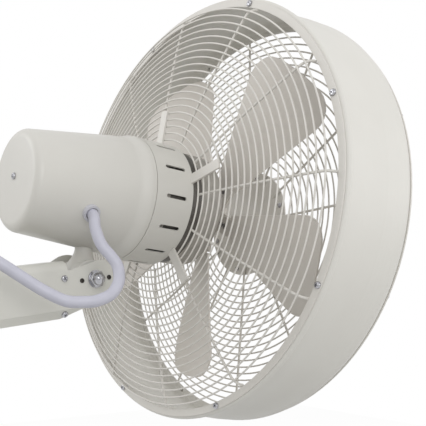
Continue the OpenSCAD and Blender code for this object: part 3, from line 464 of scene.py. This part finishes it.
def floor_paint(name):
    # Matt studio floor: shows as white to the camera and in reflections, but throws little light upwards
    material, tree, shader, spot = start_material(name, Roughness=0.9)
    mottled_colour(tree, shader, spot, srgb("B4B4B2"), 0.4, 0.005)
    path = add_node(tree, "ShaderNodeLightPath")
    seen = add_node(
        tree, "ShaderNodeMath", {0: path.outputs["Is Camera Ray"], 1: path.outputs["Is Glossy Ray"]},
        operation="MAXIMUM")
    share = add_node(tree, "ShaderNodeMath", {0: seen.outputs["Value"], 1: 0.97}, operation="MULTIPLY")
    glow = add_node(tree, "ShaderNodeEmission", {"Color": (1, 1, 1, 1), "Strength": 1.0})
    mix = add_node(
        tree, "ShaderNodeMixShader",
        {0: share.outputs["Value"], 1: shader.outputs["BSDF"], 2: glow.outputs["Emission"]})
    tree.links.new(mix.outputs["Shader"], tree.nodes["Material Output"].inputs["Surface"])
    return material


def white_world(scene):
    """A world that is white to the camera and in reflections, and a plain soft level for the rest"""
    world = bpy.data.worlds.new("white room")
    world.use_nodes = True
    scene.world = world
    tree = world.node_tree
    soft = tree.nodes["Background"]
    soft.inputs["Color"].default_value = (1, 1, 1, 1)
    soft.inputs["Strength"].default_value = 0.84
    bright = add_node(tree, "ShaderNodeBackground", {"Color": (1, 1, 1, 1), "Strength": 1.0})
    path = add_node(tree, "ShaderNodeLightPath")
    mix = add_node(
        tree, "ShaderNodeMixShader",
        {0: path.outputs["Is Camera Ray"], 1: soft.outputs["Background"], 2: bright.outputs["Background"]})
    tree.links.new(mix.outputs["Shader"], tree.nodes["World Output"].inputs["Surface"])


class FAN_OT_cord(bpy.types.Operator):
    """Makes the supply cord, which hangs in a loop between the casing and the wall gland"""

    bl_idname = "fan.cord"
    bl_label = "Supply cord"

    def execute(self, context):
        path = smooth_route(CORD_ROUTE, 5)
        radius = sizes().cord_d / 2
        mesh = sweep(path, radius, 24)
        data = bpy.data.meshes.new("supply_cord")
        mesh.to_mesh(data)
        mesh.free()
        for face in data.polygons:
            face.use_smooth = True
        data.set_sharp_from_angle(angle=math.radians(50))
        cord = bpy.data.objects.new("supply_cord", data)
        context.scene.collection.objects.link(cord)
        data.materials.append(cord_sheath("Soft PVC sheath", colours().cord))
        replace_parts(cord, "power_cord")
        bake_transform(cord)
        return {"FINISHED"}


def smooth_route(route, parts):
    """A smooth line through the route's points, with the given number of parts to each span"""
    points = [Vector(p) for p in route]
    line = []
    for i in range(len(points) - 1):
        p0 = points[max(i - 1, 0)]
        p1, p2 = points[i], points[i + 1]
        p3 = points[min(i + 2, len(points) - 1)]
        for k in range(parts):
            t = k / parts
            line.append(0.5 * (2 * p1 + (p2 - p0) * t + (2 * p0 - 5 * p1 + 4 * p2 - p3) * t * t
                               + (3 * p1 - p0 - 3 * p2 + p3) * t ** 3))
    line.append(points[-1])
    return line


def sweep(path, radius, sides):
    """A round tube along a line: one circle at each point, bridged to the next"""
    mesh = begin()
    loops = []
    across = Vector((0.4, 0.2, 0.9))
    for i, spot in enumerate(path):
        ahead = (path[min(i + 1, len(path) - 1)] - path[max(i - 1, 0)]).normalized()
        across = (across - ahead * across.dot(ahead)).normalized()
        side = ahead.cross(across)
        turn = Matrix((across, side, ahead)).transposed().to_4x4()
        ring = bmesh.ops.create_circle(
            mesh, segments=sides, radius=radius, cap_ends=i in (0, len(path) - 1),
            matrix=Matrix.Translation(spot) @ turn)
        loops.append(list({e for v in ring["verts"] for e in v.link_edges if len(e.link_faces) <= 1}))
    for a, b in zip(loops, loops[1:]):
        bmesh.ops.bridge_loops(mesh, edges=a + b)
    bmesh.ops.recalc_face_normals(mesh, faces=mesh.faces)
    return mesh


class FAN_OT_casing(bpy.types.Operator):
    """Makes the smooth rear casing with its soft waist and its slightly dropped tail"""

    bl_idname = "fan.casing"
    bl_label = "Rear casing"

    def execute(self, context):
        size = sizes()
        seam, waist, face = CASING_SEAM_Y, CASING_WAIST_Y, CASING_FACE_Y
        edge = size.tail_edge
        spigot_r, spigot_l, seam_ease = 68.6 * MM, 8 * MM, 0.4 * MM
        flare = [
            (size.waist_r + (size.seam_r - size.waist_r) * (1 + math.cos(math.pi * i / 12)) / 2,
             seam + 3 * MM + (waist - seam - 3 * MM) * i / 12) for i in range(13)]
        profile = [(spigot_r, seam - spigot_l), (spigot_r, seam), (size.seam_r - seam_ease, seam),
                   (size.seam_r, seam + seam_ease)] + flare
        slope = (size.waist_r - size.tail_r) / (face - waist)
        for i in range(1, 8):
            y = waist + (face - edge - waist) * i / 8
            profile.append((size.waist_r - slope * (y - waist), y))
        profile += arc(size.tail_r - edge + slope * edge, face - edge, edge, 0, 90, 10)
        profile += [(30 * MM, face), (0, face)]
        mesh = lathe(profile, 128)
        droop = math.asin(size.tail_drop / (face - waist))
        for vert in mesh.verts:
            share = min(1, max(0, (vert.co.y - (waist - 10 * MM)) / (20 * MM)))
            turn = Matrix.Rotation(-droop * share * share * (3 - 2 * share), 4, "X")
            hinge = Vector((0, waist, 0))
            vert.co = turn @ (vert.co - hinge) + hinge
        paint = powder_coat("Casing powder coat", colours().casing, 0.38)
        casing = make_piece("casing_shell", mesh, HEAD, "head", paint, 40)
        shell = casing.modifiers.new("wall", "SOLIDIFY")
        shell.thickness = 2.2 * MM
        shell.offset = -1
        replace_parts(casing, "rear_casing")
        return {"FINISHED"}


class FAN_OT_head_screws(bpy.types.Operator):
    """Makes the bright cross-head screws of the rims and the rear face"""

    bl_idname = "fan.head_screws"
    bl_label = "Screws of the head"

    def execute(self, context):
        size = sizes()
        plate = zinc_plate("Bright zinc plate")
        rear = join_copies(pan_head(size.head_r, size.head_h), head_screw_places(SCREW_GAP, 1))
        rear_heads = make_piece("rear_rim_heads", rear, HEAD, "head", plate)
        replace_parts(rear_heads, "rear_rim_screws")
        front = join_copies(pan_head(size.head_r, size.head_h), head_screw_places(FRONT_SCREW_Y, -1))
        front_heads = make_piece("front_rim_heads", front, HEAD, "head", plate)
        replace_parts(front_heads, "front_rim_screws")
        spot = Matrix.Translation((0, CASING_FACE_Y, 0)) @ Matrix.Rotation(math.radians(-92.2), 4, "X")
        centre = join_copies(pan_head(size.head_r, size.head_h), [spot @ Matrix.Rotation(0.6, 4, "Z")])
        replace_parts(make_piece("tail_screw_head", centre, HEAD, "head", plate), "rear_screw")
        return {"FINISHED"}


class FAN_OT_arm_screws(bpy.types.Operator):
    """Makes the screws on the arm's sides and bevels, and the screws beside the pivot, whose heads are
    drawn dark all over as painted shade for their recesses
    """

    bl_idname = "fan.arm_screws"
    bl_label = "Screws of the arm"

    def execute(self, context):
        size = sizes()
        plate = bpy.data.materials["Bright zinc plate"]
        places = []
        for side in (-1, 1):
            flat = Matrix.Rotation(side * math.radians(90), 4, "Y")
            spot = Matrix.Translation((side * ARM_HALF, SIDE_SCREW_BACK, SIDE_SCREW_UP))
            places.append(spot @ flat @ Matrix.Rotation(0.5, 4, "Z"))
            lean = Matrix.Rotation(side * BEVEL_LEAN, 4, "Y")
            for back in BEVEL_SCREW_BACKS:
                spot = Matrix.Translation((side * BEVEL_SCREW_X, back, BEVEL_SCREW_Z))
                places.append(spot @ lean @ Matrix.Rotation(back * 30, 4, "Z"))
        bright = join_copies(pan_head(size.head_r, size.head_h), places)
        heads = make_piece("arm_screw_heads", bright, ARM, "wall_arm", plate)
        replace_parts(heads, "cover_screws")
        dark = []
        for side in (-1, 1):
            flat = Matrix.Rotation(side * math.radians(90), 4, "Y")
            for back in (-FORK_SCREW_BACK, FORK_SCREW_BACK):
                dark.append(Matrix.Translation((side * ARM_HALF, back, 0)) @ flat)
        # The pivot screws' heads are dark all over: painted shade standing in for the shaded recess inside
        # each head's bright rim
        steel = plain_steel("Dark steel painted with recess shade", "4A4744", 0.45)
        small = join_copies(pan_head(2.6 * MM, 1.2 * MM), dark)
        recessed = make_piece("fork_screw_heads", small, ARM, "wall_arm", steel)
        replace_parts(recessed, "fork_screws")
        return {"FINISHED"}


class FAN_OT_acorn_nut(bpy.types.Operator):
    """Makes the polished acorn nut on the pivot"""

    bl_idname = "fan.acorn_nut"
    bl_label = "Acorn nut"

    def execute(self, context):
        mesh = hexagon(NUT_ACROSS, 0, NUT_HEX, 0.5 * MM)
        dome = bmesh.ops.create_uvsphere(mesh, u_segments=32, v_segments=16, radius=NUT_DOME_R)["verts"]
        bmesh.ops.translate(mesh, vec=(0, 0, NUT_HEX), verts=dome)
        place = ARM @ Matrix.Translation((NUT_X, 0, 0)) @ Matrix.Rotation(math.radians(-90), 4, "Y")
        plate = bpy.data.materials["Bright zinc plate"]
        nut = make_piece("acorn_nut_dome", mesh, place, "wall_arm", plate)
        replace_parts(nut, "acorn_nut")
        return {"FINISHED"}


class FAN_OT_neck(bpy.types.Operator):
    """Makes the neck: the barrel on the pivot, its flared foot and the post up to the casing"""

    bl_idname = "fan.neck"
    bl_label = "Neck"

    def execute(self, context):
        barrel_r, barrel_l, post_r, post_top = 21 * MM, 49.7 * MM, 10 * MM, 40.5 * MM
        foot_z, foot_h = 5 * MM, 28 * MM
        mesh = begin()
        bmesh.ops.create_cone(
            mesh, cap_ends=True, segments=64, radius1=barrel_r, radius2=barrel_r, depth=barrel_l,
            matrix=Matrix.Rotation(math.radians(90), 4, "Y"))
        rims = [e for e in mesh.edges if e.is_manifold and e.calc_face_angle() > 1]
        bmesh.ops.bevel(
            mesh, geom=rims, offset=1 * MM, affect="EDGES", segments=3, profile=0.5, material=-1)
        flare = [(barrel_r, 0), (barrel_r, foot_z)]
        for i in range(1, 13):
            share = (1 + math.cos(math.pi * i / 12)) / 2
            flare.append((post_r + (barrel_r - post_r) * share, foot_z + foot_h * i / 12))
        flare.append((post_r, post_top))
        points = [mesh.verts.new((r, 0, z)) for r, z in flare]
        edges = [mesh.edges.new(pair) for pair in zip(points, points[1:])]
        bmesh.ops.spin(
            mesh, geom=points + edges, cent=(0, 0, 0), axis=(0, 0, 1), angle=TURN, steps=64, use_merge=True)
        bmesh.ops.remove_doubles(mesh, verts=mesh.verts, dist=1e-6)
        bmesh.ops.recalc_face_normals(mesh, faces=mesh.faces)
        place = HEAD @ Matrix.Translation(NECK_AT)
        paint = bpy.data.materials["Casing powder coat"]
        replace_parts(make_piece("neck_post", mesh, place, "head", paint, 40), "neck")
        return {"FINISHED"}


class FAN_OT_finishes(bpy.types.Operator):
    """Gives every carried-over node the finish of its record slot"""

    bl_idname = "fan.finishes"
    bl_label = "Finishes"

    def execute(self, context):
        tint = colours()
        casing = bpy.data.materials["Casing powder coat"]
        finishes = {
            "casing_paint": casing,
            "arm_paint": powder_coat("Arm powder coat", tint.arm, 0.4),
            "drum_paint": powder_coat("Drum powder coat", tint.drum, 0.45),
            "guard_paint": powder_coat("Guard powder coat", tint.guard, 0.4),
            "blade_paint": powder_coat("Blade paint", tint.blade, 0.35),
            "motor_paint": cast_paint("Grey paint on cast aluminium", "B0ACA6"),
            "lamination_steel": lamination_steel("Varnished laminations"),
            "copper": copper_winding("Enamelled copper wire"),
            "bright_zinc": bpy.data.materials["Bright zinc plate"],
            "plain_steel": plain_steel("Mill steel", "B4B4B6", 0.35),
            # This dark steel carries painted shade: its darkness stands in for the shade in the pivot
            # screws' recesses
            "dark_steel": bpy.data.materials["Dark steel painted with recess shade"],
            "fibre": moulded_plastic("Pressed fibre", "35302C", 0.8, 1 * MM),
            "box_plastic": moulded_plastic("Spark-textured ABS", "CDCBC6", 0.5),
            "grommet_plastic": moulded_plastic("Moulded nylon", "C6C6CC", 0.35),
            "cord_sheath": bpy.data.materials["Soft PVC sheath"],
            "capacitor_case": plain_steel("Drawn aluminium", "C9C9CB", 0.3),
            "dark_plastic": moulded_plastic("Black phenolic", "2A2A2A", 0.45),
        }
        slots = {part["node"]: part["material_slot"] for part in frame["record"]["subparts"]}
        for name, node in frame["nodes"].items():
            fill_slots(node, finishes[slots[name]])
        return {"FINISHED"}


class FAN_PT_sidebar(bpy.types.Panel):
    """Lists the fan's pieces"""

    bl_idname = "FAN_PT_sidebar"
    bl_label = "Wall fan"
    bl_space_type = "VIEW_3D"
    bl_region_type = "UI"
    bl_category = "Wall fan"

    def draw(self, context):
        for name in FanSizes.__annotations__:
            self.layout.prop(sizes(), name)
        for name in FanColours.__annotations__:
            self.layout.prop(colours(), name)
        for operator in OPERATORS:
            self.layout.operator(operator.bl_idname)


OPERATORS = (
    FAN_OT_stage,
    FAN_OT_cord,
    FAN_OT_casing,
    FAN_OT_head_screws,
    FAN_OT_arm_screws,
    FAN_OT_acorn_nut,
    FAN_OT_neck,
    FAN_OT_finishes,
)
CLASSES = (FanSizes, FanColours) + OPERATORS + (FAN_PT_sidebar,)


def register():
    for each in CLASSES:
        bpy.utils.register_class(each)
    bpy.types.Scene.fan_sizes = bpy.props.PointerProperty(type=FanSizes)
    bpy.types.Scene.fan_colours = bpy.props.PointerProperty(type=FanColours)


def unregister():
    del bpy.types.Scene.fan_colours
    del bpy.types.Scene.fan_sizes
    for each in reversed(CLASSES):
        bpy.utils.unregister_class(each)


def main():
    register()
    bpy.ops.fan.stage()
    bpy.ops.fan.cord()
    bpy.ops.fan.casing()
    bpy.ops.fan.head_screws()
    bpy.ops.fan.arm_screws()
    bpy.ops.fan.acorn_nut()
    bpy.ops.fan.neck()
    bpy.ops.fan.finishes()


if __name__ == "__main__":
    main()
